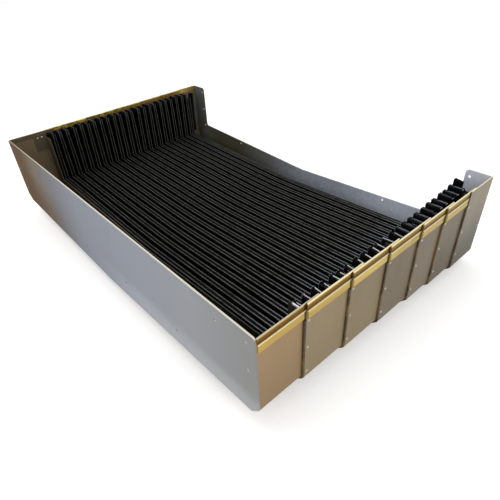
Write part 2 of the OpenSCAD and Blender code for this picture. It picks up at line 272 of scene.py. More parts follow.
# near plate: zinc-plated sheet, brown at its left end and bright at its right
nearPlateFinish = {
    "ramp": [(0.0, shade(96, 60, 6)), (0.07, shade(88, 62, 10)), (0.18, shade(118, 106, 92)),
             (0.26, shade(117, 117, 121)), (0.42, shade(139, 143, 154)),
             (0.62, shade(146, 151, 163)), (0.85, shade(151, 154, 159)),
             (0.98, shade(142, 142, 141))],
    # painted light: the next four entries pale the foot of the plate's right half
    "paintedLightLowRight": 0.35,
    "paintedLightLowRightX": (-0.1, 0.25),
    "paintedLightLowRightZ": (0.1, 0.055),
    "pale": shade(205, 208, 212),
    # painted shade: the next three entries darken the foot of the plate's left half
    "paintedShadeLowLeft": 0.8,
    "paintedShadeLowLeftX": (-0.12, -0.42),
    "paintedShadeLowLeftZ": (0.19, 0.06),
    "leftBrown": 0.6,
    "leftBrownX": (-0.34, -0.47),
    # the next colour is the brown stain at the left end, and also the painted shade at the foot of
    # the left half
    "brown": shade(84, 54, 6),
    # painted highlight on the top edges
    "rim": shade(226, 220, 200),
    # painted shade on the faces turned into the cover
    "inside": shade(60, 55, 38),
    "mark": shade(104, 100, 94),
    "metal": 0.1,
    "gloss": 0.55,
    "specular": 0.06,
}


def makeNearPlateSheet(look):
    material, tree, shader = newMaterial("nearPlateSheet")
    place = objectPlace(tree)
    facing = addNode(tree, "ShaderNodeTexCoord").outputs["Normal"]
    x, y, z = addNode(tree, "ShaderNodeSeparateXYZ", {0: place}).outputs
    faceY = addNode(tree, "ShaderNodeSeparateXYZ", {0: facing}).outputs[1]
    across = addRange(tree, x, -0.5, 0.5, smooth=False)
    base = addRamp(tree, across, look["ramp"])
    grain = useGroup(tree, rolledGrain, {"Place": place, "Stretch": (0.05, 1, 1), "Scale": 500})
    marks = useGroup(tree, handlingMarks, {"Place": place, "Size": 5.0, "Cover": 0.35})
    flakes = useGroup(tree, zincSpangle, {"Place": place, "Scale": 150})
    # painted light, paler towards the foot of the right half
    paintedLightLowRight = addMath(tree, "MULTIPLY", addRange(tree, z, *look["paintedLightLowRightZ"]),
                       addRange(tree, x, *look["paintedLightLowRightX"]))
    base = layOver(tree, base, look["pale"], paintedLightLowRight, look["paintedLightLowRight"])
    # painted shade, darker towards the foot of the left half
    paintedShadeLowLeft = addMath(tree, "MULTIPLY", addRange(tree, z, *look["paintedShadeLowLeftZ"]),
                      addRange(tree, x, *look["paintedShadeLowLeftX"]))
    base = layOver(tree, base, look["brown"], paintedShadeLowLeft, look["paintedShadeLowLeft"])
    base = layOver(tree, base, shade(176, 178, 182), grain["Band"], 0.08)
    base = layOver(tree, base, look["mark"], flakes["Mottle"], 0.15)
    base = layOver(tree, base, look["mark"], marks["Smudge"], 0.14)
    base = layOver(tree, base, shade(190, 192, 194), marks["Scratch"], 0.12)
    leftEnd = addMath(tree, "MULTIPLY", addRange(tree, x, *look["leftBrownX"]), look["leftBrown"])
    base = mixColour(tree, leftEnd, base, look["brown"])
    mask = useGroup(tree, insideMask, {"Place": place, "Facing": facing, "FloorTop": 0.1})
    # painted highlight on the upward faces, stronger to the right
    paintedHighlightShare = addMath(tree, "MULTIPLY", mask["Up"], addRange(tree, x, -0.45, 0.0, 0.4, 0.85))
    base = mixColour(tree, paintedHighlightShare, base, look["rim"])
    # painted shade on the faces turned into the cover
    base = mixColour(tree, addRange(tree, faceY, 0.3, 0.6), base, look["inside"])
    tree.links.new(base, shader.inputs["Base Color"])
    rough = addRange(tree, marks["Smudge"], 0, 1, look["gloss"], look["gloss"] + 0.1, smooth=False)
    tree.links.new(rough, shader.inputs["Roughness"])
    shader.inputs["Metallic"].default_value = look["metal"]
    shader.inputs["Specular IOR Level"].default_value = look["specular"]
    height = addMath(tree, "ADD", grain["Grain"], addMath(tree, "MULTIPLY", grain["Band"], 3.0))
    tree.links.new(bumpFrom(tree, height, 0.25, 0.0002), shader.inputs["Normal"])
    return material


# zinc-coated sheet of the far plate, with painted shade over its left end, painted light on its
# right and smudges
zincFinish = {
    "dark": shade(150, 158, 172),
    "light": shade(206, 214, 228),
    # the next colour is both smudge dirt and the painted shade over the left end
    "dirtAndPaintedShade": shade(80, 77, 60),
    # painted light on the right
    "paintedLightRight": shade(236, 242, 255),
    "paintedLightShare": 0.6,
    "paintedLightX": (0.12, 0.36),
    "scratch": shade(226, 230, 236),
    "metal": 0.1,
}


def makeZincSheet(look):
    material, tree, shader = newMaterial("zincSheet")
    place = objectPlace(tree)
    x = addNode(tree, "ShaderNodeSeparateXYZ", {0: place}).outputs[0]
    flakes = useGroup(tree, zincSpangle, {"Place": place, "Scale": 170})
    marks = useGroup(tree, handlingMarks, {"Place": place, "Size": 6.0, "Cover": 0.4})
    tone = addMath(tree, "ADD", addMath(tree, "MULTIPLY", flakes["Flake"], 0.45),
                   addMath(tree, "MULTIPLY", flakes["Mottle"], 0.55))
    base = mixColour(tree, tone, look["dark"], look["light"])
    # painted shade over the left end, where the left wall shades the plate
    paintedShadeLeft = addRamp(tree, addRange(tree, x, -0.52, 0.52, smooth=False),
                    [(0.03, (0.86, 0.86, 0.86, 1)), (0.12, (1, 1, 1, 1)), (0.22, (1, 1, 1, 1)),
                     (0.36, (0.8, 0.8, 0.8, 1)), (0.5, (0.32, 0.32, 0.32, 1)),
                     (0.76, (0, 0, 0, 1))])
    # painted light, paler on the right
    bright = addMath(tree, "MULTIPLY", addRange(tree, x, *look["paintedLightX"]), look["paintedLightShare"])
    base = mixColour(tree, bright, base, look["paintedLightRight"])
    base = mixColour(tree, paintedShadeLeft, base, look["dirtAndPaintedShade"])
    base = layOver(tree, base, look["dirtAndPaintedShade"], marks["Smudge"], 0.2)
    base = layOver(tree, base, look["scratch"], marks["Scratch"], 0.05)
    tree.links.new(base, shader.inputs["Base Color"])
    rough = addRange(tree, flakes["Flake"], 0, 1, 0.4, 0.55, smooth=False)
    tree.links.new(rough, shader.inputs["Roughness"])
    shader.inputs["Metallic"].default_value = look["metal"]
    tree.links.new(bumpFrom(tree, flakes["Mottle"], 0.3, 0.0002), shader.inputs["Normal"])
    return material


# bellows frames and rear frames: dark steel
# the near one has a painted highlight along the bare right end of its top edge, and painted light
# on its left half
frameFinish = {
    "base": shade(34, 32, 24),
    "worn": shade(56, 52, 42),
    # painted light on the left half of the near frame
    "paintedLightLeftHalf": shade(86, 76, 58),
    # painted highlight on the bare right end of the near frame's top edge
    "bareEdgeHighlight": shade(240, 240, 238),
    "bareEdgeHighlightFrom": (0.472, 0.476),
    "edge": 0.2028,
    "edgeWidth": 0.004,
    "edgeBreakup": 0.3,
    "metal": 0.2,
}


def makeDarkFrame(name, look, withBareEdgeHighlight):
    material, tree, shader = newMaterial(name)
    place = objectPlace(tree)
    marks = useGroup(tree, handlingMarks, {"Place": place, "Size": 18.0, "Cover": 0.6})
    grain = useGroup(tree, rolledGrain, {"Place": place, "Stretch": (1, 1, 0.1), "Scale": 500})
    base = mixColour(tree, marks["Smudge"], look["base"], look["worn"])
    if withBareEdgeHighlight:
        x, y, z = addNode(tree, "ShaderNodeSeparateXYZ", {0: place}).outputs
        speck = addNode(tree, "ShaderNodeTexNoise", {"Vector": place, "Scale": 140, "Detail": 3})
        centred = addMath(tree, "SUBTRACT", speck.outputs["Fac"], 0.5)
        ragged = addMath(tree, "MULTIPLY", centred, look["edgeBreakup"])
        aboveEdge = addMath(tree, "SUBTRACT", z, look["edge"] - look["edgeWidth"])
        ratio = addMath(tree, "DIVIDE", aboveEdge, look["edgeWidth"])
        band = addRange(tree, addMath(tree, "ADD", ratio, ragged), 0.0, 0.5)
        # painted highlight along the bare right end of the top edge, and painted light on the left
        # half
        bareEdgeHighlight = addMath(tree, "MULTIPLY", band, addRange(tree, x, *look["bareEdgeHighlightFrom"]))
        base = mixColour(tree, addMath(tree, "LESS_THAN", x, 0.0), base, look["paintedLightLeftHalf"])
        base = mixColour(tree, bareEdgeHighlight, base, look["bareEdgeHighlight"])
    tree.links.new(base, shader.inputs["Base Color"])
    tree.links.new(addRange(tree, grain["Grain"], 0.2, 0.8, 0.45, 0.65), shader.inputs["Roughness"])
    shader.inputs["Metallic"].default_value = look["metal"]
    tree.links.new(bumpFrom(tree, grain["Grain"], 0.3, 0.0001), shader.inputs["Normal"])
    return material


# section sheets: one tint for each, as oil and handling left them, with painted shade making them
# darker and greener inside
sectionFinish = {
    "tints": [shade(155, 128, 92), shade(145, 128, 97), shade(134, 118, 90), shade(118, 106, 87),
              shade(120, 108, 90), shade(114, 104, 84), shade(134, 125, 107)],
    "lowShare": [0.9, 1.0, 1.14, 1.06, 1.14, 0.8, 0.42],   # brightness at the foot of each wall
    "lipFront": [-0.2245, -0.1235, -0.0275, 0.0665, 0.1445, 0.2305],
    "lipOil": shade(80, 58, 22),
    # painted shade on the inner walls and floors
    "paintedShadeInsideWall": shade(128, 112, 88),
    "paintedShadeInsideFloor": shade(54, 52, 46),
    # painted highlight on the sheets' top edges
    "rim": shade(250, 240, 196),
    "rimHighlightNear": shade(200, 188, 166),
    # the hem is painted from shade at its lower edge up to a highlight at its top
    "hemTopHighlight": shade(200, 172, 104),
    "hemLowShade": shade(126, 86, 4),
    "hemMore": (0.016, 0.0165, 0.0075),   # linear brightness gained from one hem to the next
    "hemMetal": 0.9,
    # painted shade in the gap between the hem and the brass strip
    "gap": shade(96, 66, 20),
    "oil": shade(92, 78, 58),
    "hemZ": 0.2118,
    "topZ": 0.2208,
    "stripZ": 0.2068,
    "metal": 0.3,
    "gloss": 0.42,
    "specular": 0.3,
}


def makeSectionSheet(number, look):
    material, tree, shader = newMaterial(f"sectionSheet{number}")
    place = objectPlace(tree)
    facing = addNode(tree, "ShaderNodeTexCoord").outputs["Normal"]
    x, y, z = addNode(tree, "ShaderNodeSeparateXYZ", {0: place}).outputs
    shifted = addNode(tree, "ShaderNodeMapping",
                      {"Vector": place, "Location": (0, number * 1.7, 0)}).outputs[0]
    grain = useGroup(tree, rolledGrain, {"Place": shifted, "Stretch": (1, 1, 0.05), "Scale": 420})
    marks = useGroup(tree, handlingMarks, {"Place": shifted, "Size": 9.0, "Cover": 0.4})
    tint = look["tints"][number - 1]
    pale = tuple(min(1, c * 1.12 + 0.006) for c in tint[:3]) + (1,)
    base = mixColour(tree, addRange(tree, grain["Band"], 0.3, 0.7, smooth=False), tint, pale)
    grainMask = addMath(tree, "MULTIPLY", addRange(tree, grain["Grain"], 0.5, 0.75), 0.1)
    base = mixColour(tree, grainMask, base, look["oil"])
    base = layOver(tree, base, look["oil"], marks["Smudge"], 0.12)
    base = layOver(tree, base, shade(200, 190, 170), marks["Scratch"], 0.1)
    # painted light and shade at the foot of each wall
    foot = addRange(tree, z, 0.2, 0.05)
    footShade = tuple(c * look["lowShare"][number - 1] for c in tint[:3]) + (1,)
    base = mixColour(tree, foot, base, footShade)
    metal = look["metal"]
    if number < 7:  # the hem, and the shaded gap between it and the brass strip
        # the hem: painted shade at its lower edge rising to a painted highlight at its top
        hem = addRange(tree, z, look["hemZ"] + 0.004, look["topZ"] - 0.001)
        hemLowShade = tuple(low + (number - 1) * more
                       for low, more in zip(look["hemLowShade"], look["hemMore"])) + (1,)
        hemColour = mixColour(tree, hem, hemLowShade, look["hemTopHighlight"])
        onHem = addRange(tree, z, look["hemZ"] - 0.0004, look["hemZ"])
        base = mixColour(tree, onHem, base, hemColour)
        # painted shade in the gap between the hem and the brass strip
        inShadedGap = addMath(tree, "MULTIPLY", addRange(tree, z, look["stripZ"] - 0.001, look["stripZ"]),
                        addRange(tree, z, look["hemZ"], look["hemZ"] - 0.0006))
        base = mixColour(tree, inShadedGap, base, look["gap"])
        hemOrGap = addMath(tree, "MAXIMUM", onHem, inShadedGap)
        metal = addRange(tree, hemOrGap, 0, 1, metal, look["hemMetal"])
        front = look["lipFront"][number - 1]
        lipLine = addRange(tree, y, front - 0.005, front - 0.0034)
        base = layOver(tree, base, look["lipOil"], lipLine, 0.9)
    mask = useGroup(tree, insideMask, {"Place": place, "Facing": facing, "FloorTop": 0.12})
    # painted shade on the inner walls and floors
    base = mixColour(tree, mask["Wall"], base, look["paintedShadeInsideWall"])
    base = mixColour(tree, mask["Floor"], base, look["paintedShadeInsideFloor"])
    # painted highlight on the upward faces
    rim = look["rimHighlightNear"] if number == 1 else look["rim"]
    base = layOver(tree, base, rim, mask["Up"], 0.9)
    tree.links.new(base, shader.inputs["Base Color"])
    rough = addRange(tree, marks["Smudge"], 0, 1, look["gloss"], look["gloss"] + 0.12, smooth=False)
    tree.links.new(rough, shader.inputs["Roughness"])
    fillInputs(tree, shader, {"Metallic": metal})
    shader.inputs["Specular IOR Level"].default_value = look["specular"]
    height = addMath(tree, "ADD", grain["Grain"], addMath(tree, "MULTIPLY", grain["Band"], 2.0))
    tree.links.new(bumpFrom(tree, height, 0.2, 0.0002), shader.inputs["Normal"])
    return material


# brass guide strips, wipers and rivets
brassFinish = {
    "base": shade(192, 158, 70),
    "bright": shade(232, 206, 112),
    "tarnish": shade(138, 106, 42),
    "tarnishY": (-0.07, 0.02),
    "tarnishShare": 0.42,
    # painted highlight on the strips' top edges and upward faces
    "edge": shade(252, 240, 190),
    "grime": shade(58, 50, 22),
    "metal": 0.4,
    "lipFronts": sectionFinish["lipFront"],
    "lipBand": (0.0012, 0.003),   # how far in front of a lip its oil is centred, and half its width
    "stripTop": sectionFinish["stripZ"],
}
wiperFinish = {"base": shade(62, 47, 25), "worn": shade(104, 82, 44)}
rivetFinish = {"base": shade(186, 184, 176), "dark": shade(104, 98, 86)}


def makeGuideBrass(look):
    material, tree, shader = newMaterial("guideBrass")
    place = objectPlace(tree)
    facing = addNode(tree, "ShaderNodeTexCoord").outputs["Normal"]
    faceZ = addNode(tree, "ShaderNodeSeparateXYZ", {0: facing}).outputs[2]
    grain = useGroup(tree, rolledGrain, {"Place": place, "Stretch": (1, 0.08, 1), "Scale": 380})
    marks = useGroup(tree, handlingMarks, {"Place": place, "Size": 24.0, "Cover": 0.4})
    base = mixColour(tree, addRange(tree, grain["Band"], 0.3, 0.75), look["base"], look["bright"])
    base = layOver(tree, base, look["tarnish"], marks["Smudge"], 0.35)
    base = layOver(tree, base, look["bright"], marks["Scratch"], 0.3)
    x, y, z = addNode(tree, "ShaderNodeSeparateXYZ", {0: place}).outputs
    spots = useGroup(tree, handlingMarks, {"Place": place, "Size": 80.0, "Cover": 0.7})
    left = addMath(tree, "MULTIPLY", addMath(tree, "LESS_THAN", x, 0.0),
                   addRange(tree, y, 0.3, -0.15, 0.3, 0.75))
    base = mixColour(tree, addMath(tree, "MULTIPLY", left, spots["Smudge"]), base, look["grime"])
    farHalf = addRange(tree, y, *look["tarnishY"], 0, look["tarnishShare"])
    base = mixColour(tree, farHalf, base, look["tarnish"])
    faceX = addNode(tree, "ShaderNodeSeparateXYZ", {0: facing}).outputs[0]
    outFacing = addMath(tree, "MULTIPLY", faceX, addMath(tree, "SIGN", x))
    outwards = addMath(tree, "GREATER_THAN", outFacing, 0.5)
    # painted highlight along the top of the outer faces
    nearTop = addRange(tree, z, look["stripTop"] - 0.0022, look["stripTop"] - 0.0014)
    topEdgeHighlight = addMath(tree, "MULTIPLY", outwards, nearTop)
    base = layOver(tree, base, look["edge"], topEdgeHighlight, 0.6)
    lines = None
    for front in look["lipFronts"]:  # dark oil where the next section's lip rests
        line = addMath(tree, "COMPARE", y, front - look["lipBand"][0])
        line.node.inputs[2].default_value = look["lipBand"][1]
        lines = line if lines is None else addMath(tree, "MAXIMUM", lines, line)
    lipOil = addMath(tree, "MULTIPLY", lines, addMath(tree, "MULTIPLY", outwards, 0.85))
    base = mixColour(tree, lipOil, base, look["grime"])
    # painted highlight on the upward faces
    base = mixColour(tree, addRange(tree, faceZ, 0.3, 0.8, 0, 0.8), base, look["edge"])
    tree.links.new(base, shader.inputs["Base Color"])
    rough = addRange(tree, marks["Smudge"], 0, 1, 0.3, 0.5, smooth=False)
    tree.links.new(rough, shader.inputs["Roughness"])
    shader.inputs["Metallic"].default_value = look["metal"]
    tree.links.new(bumpFrom(tree, grain["Grain"], 0.25, 0.0001), shader.inputs["Normal"])
    return material


def makeWiperRubber(look):
    material, tree, shader = newMaterial("wiperRubber")
    place = objectPlace(tree)
    marks = useGroup(tree, handlingMarks, {"Place": place, "Size": 30.0, "Cover": 0.7})
    grain = useGroup(tree, rolledGrain, {"Place": place, "Stretch": (1, 1, 1), "Scale": 900})
    base = mixColour(tree, marks["Smudge"], look["base"], look["worn"])
    tree.links.new(base, shader.inputs["Base Color"])
    rough = addRange(tree, grain["Grain"], 0, 1, 0.45, 0.7, smooth=False)
    tree.links.new(rough, shader.inputs["Roughness"])
    tree.links.new(bumpFrom(tree, grain["Grain"], 0.3, 0.0001), shader.inputs["Normal"])
    return material


def makeRivetSteel(look):
    material, tree, shader = newMaterial("rivetSteel")
    place = objectPlace(tree)
    marks = useGroup(tree, handlingMarks, {"Place": place, "Size": 90.0, "Cover": 0.4})
    base = mixColour(tree, marks["Smudge"], look["base"], look["dark"])
    tree.links.new(base, shader.inputs["Base Color"])
    rough = addRange(tree, marks["Smudge"], 0, 1, 0.25, 0.5, smooth=False)
    tree.links.new(rough, shader.inputs["Roughness"])
    shader.inputs["Metallic"].default_value = 0.5
    return material


# bellows cloth, its welded seams and the edges of its stiffening sheets
clothFinish = {
    # painted shade in the folds below the crests
    "fold": shade(2, 2, 2),
    "cloth": shade(5, 5, 5),
    "dusty": shade(15, 15, 15),
    "cap": shade(58, 60, 70),
    "seam": shade(103, 103, 101),
    "seamDark": shade(50, 50, 48),
    # painted highlight on the seams towards the right end
    "seamEndHighlight": shade(148, 151, 158),
    # the next two colours are the painted highlight on the rims of the pleat tops
    "rim": shade(92, 96, 108),
    "rimDark": shade(50, 53, 60),
    "stiffener": shade(232, 234, 242),
    # the next colour is both smudge dirt and the painted shade on the left and far sheet edges
    "stiffenerShadeAndDirt": shade(70, 72, 80),
    "leftShare": 0.4,   # how much of the wear is left in the left half
    "wornX": (0.02, 0.45),
}


def makeBellowsCloth(look):
    material, tree, shader = newMaterial("bellowsCloth")
    run = addNode(tree, "ShaderNodeUVMap", uv_map="clothRun").outputs["UV"]
    depth = addNode(tree, "ShaderNodeAttribute", attribute_name="depth").outputs["Fac"]
    weave = useGroup(tree, clothWeave, {"Place": run, "Threads": 320})
    x, y, z = addNode(tree, "ShaderNodeSeparateXYZ", {0: objectPlace(tree)}).outputs
    onCrest = addRange(tree, depth, 0.9, 0.98)
    worn = addMath(tree, "MULTIPLY", addRange(tree, weave["Dust"], 0.3, 0.75),
                   addRange(tree, x, *look["wornX"], look["leftShare"], 1.0))
    # painted shade below the crests
    base = mixColour(tree, onCrest, look["fold"], look["cloth"])
    base = layOver(tree, base, look["dusty"], onCrest, worn)
    onCap = addNode(tree, "ShaderNodeAttribute", attribute_name="insert").outputs["Fac"]
    farCaps = addMath(tree, "MULTIPLY", onCap, addRange(tree, y, -0.05, 0.1))
    base = layOver(tree, base, look["cap"], farCaps, worn)
    tree.links.new(base, shader.inputs["Base Color"])
    tree.links.new(addRange(tree, weave["Dust"], 0.2, 0.8, 0.6, 0.75), shader.inputs["Roughness"])
    shader.inputs["Specular IOR Level"].default_value = 0.04
    tree.links.new(bumpFrom(tree, weave["Weave"], 0.35, 0.0002), shader.inputs["Normal"])
    return material


def makeBellowsSeam(name, look, pale, dark):
    material, tree, shader = newMaterial(name)
    run = addNode(tree, "ShaderNodeUVMap", uv_map="clothRun").outputs["UV"]
    depth = addNode(tree, "ShaderNodeAttribute", attribute_name="depth").outputs["Fac"]
    weave = useGroup(tree, clothWeave, {"Place": run, "Threads": 260})
    x = addNode(tree, "ShaderNodeSeparateXYZ", {0: objectPlace(tree)}).outputs[0]
    worn = addMath(tree, "MULTIPLY", addRange(tree, weave["Dust"], 0.3, 0.6),
                   addRange(tree, x, *look["wornX"], look["leftShare"], 1.0))
    base = mixColour(tree, worn, look[dark], look[pale])
    # painted highlight towards the right end
    base = mixColour(tree, addRange(tree, x, 0.3, 0.5), base, look["seamEndHighlight"])
    # painted shade below the seams' tops
    base = mixColour(tree, addRange(tree, depth, 0.97, 0.985), look["fold"], base)
    tree.links.new(base, shader.inputs["Base Color"])
    shader.inputs["Roughness"].default_value = 0.6
    shader.inputs["Specular IOR Level"].default_value = 0.12
    tree.links.new(bumpFrom(tree, weave["Weave"], 0.3, 0.0001), shader.inputs["Normal"])
    return material


# pale plastic sheets inside the pleats; painted shade darkens them on the left side and towards the
# far end, so their edges show bright, partly as a painted highlight, only at the near right;
# smudged too
def makeStiffenerEdge(look):
    material, tree, shader = newMaterial("stiffenerEdge")
    place = objectPlace(tree)
    x, y, z = addNode(tree, "ShaderNodeSeparateXYZ", {0: place}).outputs
    marks = useGroup(tree, handlingMarks, {"Place": place, "Size": 40.0, "Cover": 0.5})
    far = addRange(tree, y, -0.02, 0.1)
    # painted shade on the left side and towards the far end
    paintedShadeLeftAndFar = addMath(tree, "MAXIMUM", far, addMath(tree, "LESS_THAN", x, 0.0))
    base = mixColour(tree, paintedShadeLeftAndFar, look["stiffener"], look["stiffenerShadeAndDirt"])
    base = layOver(tree, base, look["stiffenerShadeAndDirt"], marks["Smudge"], 0.25)
    tree.links.new(base, shader.inputs["Base Color"])
    shader.inputs["Roughness"].default_value = 0.4
    return material


nearPlateSheet = makeNearPlateSheet(nearPlateFinish)
zincSheet = makeZincSheet(zincFinish)
darkFrame = makeDarkFrame("darkFrame", frameFinish, False)
nearFrame = makeDarkFrame("nearFrame", frameFinish, True)
guideBrass = makeGuideBrass(brassFinish)
wiperRubber = makeWiperRubber(wiperFinish)
rivetSteel = makeRivetSteel(rivetFinish)
bellowsCloth = makeBellowsCloth(clothFinish)
bellowsSeam = makeBellowsSeam("bellowsSeam", clothFinish, "seam", "seamDark")
# painted highlight for the rims of the pleat tops
bellowsRimHighlight = makeBellowsSeam("bellowsRimHighlight", clothFinish, "rim", "rimDark")
stiffenerEdge = makeStiffenerEdge(clothFinish)
sectionSheets = [makeSectionSheet(number, sectionFinish) for number in range(1, 8)]
print("materials built")


# the CAD pieces get their finishes
def finishOf(name):
    if name == "near_plate":
        return nearPlateSheet
    if name == "far_plate":
        return zincSheet
    if name.startswith("section_"):
        return sectionSheets[int(name[-1]) - 1]
    if "rivets" in name:
        return rivetSteel
    if "strip" in name:
        return guideBrass
    if name.startswith("wiper"):
        return wiperRubber
    return nearFrame if name == "near_bellows_frame" else darkFrame


for name, node in nodes.items():
    if name != "bellows":
        for socket in node.material_slots:
            socket.material = finishOf(name)
print("CAD pieces dressed:", len(nodes) - 1)


# bellows: one pleated trough of coated cloth, mitred at its corners
bellowsSizes = {
    "pleats": 23,
    "depth": 31 * mm,            # from the outer folds to the top of the seams
    "valleyFace": 1.2 * mm,      # the cloth's upper face in the outer folds
    "crest": 12.6 * mm,
    "sideRun": 1.5 * mm,
    "seamInset": 0.9 * mm,
    "seamWidth": 2.3 * mm,
    "seamHeight": 0.8 * mm,
    "crestSag": 0.9 * mm,
    "cloth": 0.9 * mm,
    "slope": 0.035,
    "floorSteps": 30,
    "legSteps": 9,
    "softRidge": 60 * mm,        # radius of the bend along the middle
    "cornerLimit": 18 * mm,      # size of the 45 degree bend outside the corner
    "waveDeep": 0.8 * mm,
    "waveAlong": 0.7 * mm,
    # pleat, and how many mm its top stands above the CAD's top
    "rightTops": [(0, -17), (11, -17), (16, -10), (19, -6), (23, -1)],
    "leftTops": [(0, 2), (4, 5), (23, 5)],
    "topPinch": 0.3,             # share of a pleat's width lost at its top
    "topLean": 2.2 * mm,
    "topUneven": 1.8 * mm,
    "foldDrop": 5 * mm,          # how far the outer folds end under the pleats' tops
    "capThick": 1.0 * mm,
    "capDrop": 1.2 * mm,
    "rimWidth": 1.9 * mm,
    "stiffener": (22 * mm, 1.1 * mm, 12 * mm),
    "stiffenerRise": 0.5 * mm,
    "stiffenerTurn": 10,         # degrees, at most
    "stiffenerStray": 3.0 * mm,
    "seed": 11,
}


# y offset, depth and whether it lies on a seam, along one pleat
def pleatPoints(size, pitch):
    valley = (pitch - size["crest"] - 2 * size["sideRun"]) / 2
    low, top = size["valleyFace"], size["depth"]
    bead, step, run = size["seamWidth"], size["seamHeight"], size["sideRun"]
    shoulder = valley + run
    seam = shoulder + size["seamInset"]
    half = [(0.0, low, 0), (valley, low, 0), (valley + run * 0.5, (low + top) / 2, 0),
            (shoulder, top - 2.2 * step, 0), (seam - 0.1 * mm, top - step, 0),
            (seam, top - 0.3 * mm, 1), (seam + 0.35 * mm, top, 1),
            (seam + bead - 0.3 * mm, top, 1), (seam + bead, top - step, 1)]
    middle = [(pitch / 2, top - step - size["crestSag"], 0)]
    other = [(pitch - y, depth, seam) for y, depth, seam in reversed(half)]
    return half + middle + other


# the section through all the pleats, as one chain of edges in the plane x = 0
def addPleatChain(bm, size, start, pitch):
    run = bm.verts.layers.float["run"]
    seamMark = bm.verts.layers.float["seam"]
    depthMark = bm.verts.layers.float["depth"]
    pleatMark = bm.verts.layers.float["pleat"]
    points = pleatPoints(size, pitch)
    wave, length = [], 0.0
    for index, (y, depth, seam) in enumerate(points):
        vert = bm.verts.new((0, start + y, depth))
        if wave:
            bm.edges.new((wave[-1], vert))
            length += (vert.co - wave[-1].co).length
        vert[run], vert[seamMark], vert[depthMark] = length, seam, depth / size["depth"]
        vert[pleatMark] = 0.5 if 0 < index < len(points) - 1 else 0.0
        wave.append(vert)
    waveEdges = [edge for edge in bm.edges if edge.verts[0] in wave and edge.verts[1] in wave]
    everything = set(wave) | set(waveEdges)
    for number in range(1, size["pleats"]):
        copy = bmesh.ops.duplicate(bm, geom=wave + waveEdges)["geom"]
        verts = [item for item in copy if isinstance(item, bmesh.types.BMVert)]
        bmesh.ops.translate(bm, verts=verts, vec=(0, number * pitch, 0))
        for vert in verts:
            vert[run] += number * length
            vert[pleatMark] += number
        everything |= set(copy)
    chainVerts = [item for item in everything if isinstance(item, bmesh.types.BMVert)]
    bmesh.ops.remove_doubles(bm, verts=chainVerts, dist=0.01 * mm)
    chainVerts = {vert for vert in chainVerts if vert.is_valid}
    return chainVerts, [edge for edge in bm.edges if set(edge.verts) <= chainVerts]


# extrudes a chain of edges and cuts the new faces across
def drawOut(bm, chain, vec, cuts):
    made = bmesh.ops.extrude_edge_only(bm, edges=chain)["geom"]
    ends = [item for item in made if isinstance(item, bmesh.types.BMVert)]
    bmesh.ops.translate(bm, verts=ends, vec=vec)
    faces = [item for item in made if isinstance(item, bmesh.types.BMFace)]
    direction = Vector(vec).normalized()
    long = {edge for face in faces for edge in face.edges
            if abs((edge.verts[0].co - edge.verts[1].co).normalized().dot(direction)) > 0.999
            and (edge.verts[0].co - edge.verts[1].co).length > 0.5 * Vector(vec).length}
    bmesh.ops.subdivide_edges(bm, edges=list(long), cuts=cuts, use_grid_fill=True)


def partOf(bm, test):
    verts = [vert for vert in bm.verts if test(vert)]
    kept = set(verts)
    edges = [edge for edge in bm.edges if edge.verts[0] in kept and edge.verts[1] in kept]
    faces = [face for face in bm.faces if all(vert in kept for vert in face.verts)]
    return verts + edges + faces


# what shows in the top of each pleat of the leg: a sunk cloth cap and the stiffening sheet's edge
def addTops(bm, size, outer, top, start, pitch):
    wide = size["crest"] + 1.2 * size["sideRun"] - 1.2 * mm
    long = size["depth"] - 1.4 * mm
    seamMark = bm.verts.layers.float["seam"]
    pleatMark = bm.verts.layers.float["pleat"]
    depthMark = bm.verts.layers.float["depth"]
    insertMark = bm.verts.layers.float["insert"]
    runMark = bm.verts.layers.float["run"]
    sheetLong, sheetThick, sheetHigh = size["stiffener"]
    inner = outer - size["depth"]
    draw = random.Random(size["seed"] + 1)
    for number in range(size["pleats"]):
        middle = start + (number + 0.5) * pitch
        turn = math.radians(draw.uniform(-1, 1) * size["stiffenerTurn"])
        stray = draw.uniform(-1, 1) * size["stiffenerStray"]
        cap = (inner + long / 2 + 1.0 * mm, middle, top - size["capDrop"] - size["capThick"] / 2)
        sheet = (inner + size["depth"] / 2 + stray, middle,
                 top + size["stiffenerRise"] - sheetHigh / 2)
        capBlock = (long, wide, size["capThick"])
        sheetBlock = (sheetLong - stray, sheetThick, sheetHigh)
        for place, block, turned, mark in ((cap, capBlock, 0.0, 0.0),
                                           (sheet, sheetBlock, turn, 2.0)):
            scaled = (Matrix.Translation(place) @ Matrix.Rotation(turned, 4, "Z")
                      @ Matrix.Diagonal((*block, 1)))
            verts = bmesh.ops.create_cube(bm, size=1.0, matrix=scaled)["verts"]
            if mark == 0.0:
                topFace = max({face for vert in verts for face in vert.link_faces},
                              key=lambda face: face.calc_center_median().z)
                rim = bmesh.ops.inset_region(bm, faces=[topFace], thickness=size["rimWidth"],
                                             depth=-0.6 * mm)
                # the rim faces take the painted highlight of the pleat tops
                for face in rim["faces"]:
                    face.material_index = 3
                    verts = list(set(verts) | set(face.verts))
            for vert in verts:
                vert[seamMark] = mark
                vert[pleatMark] = number + 0.5
                vert[depthMark] = 1.0
                vert[insertMark] = 1.0
                vert[runMark] = vert.co.y + number * 0.07


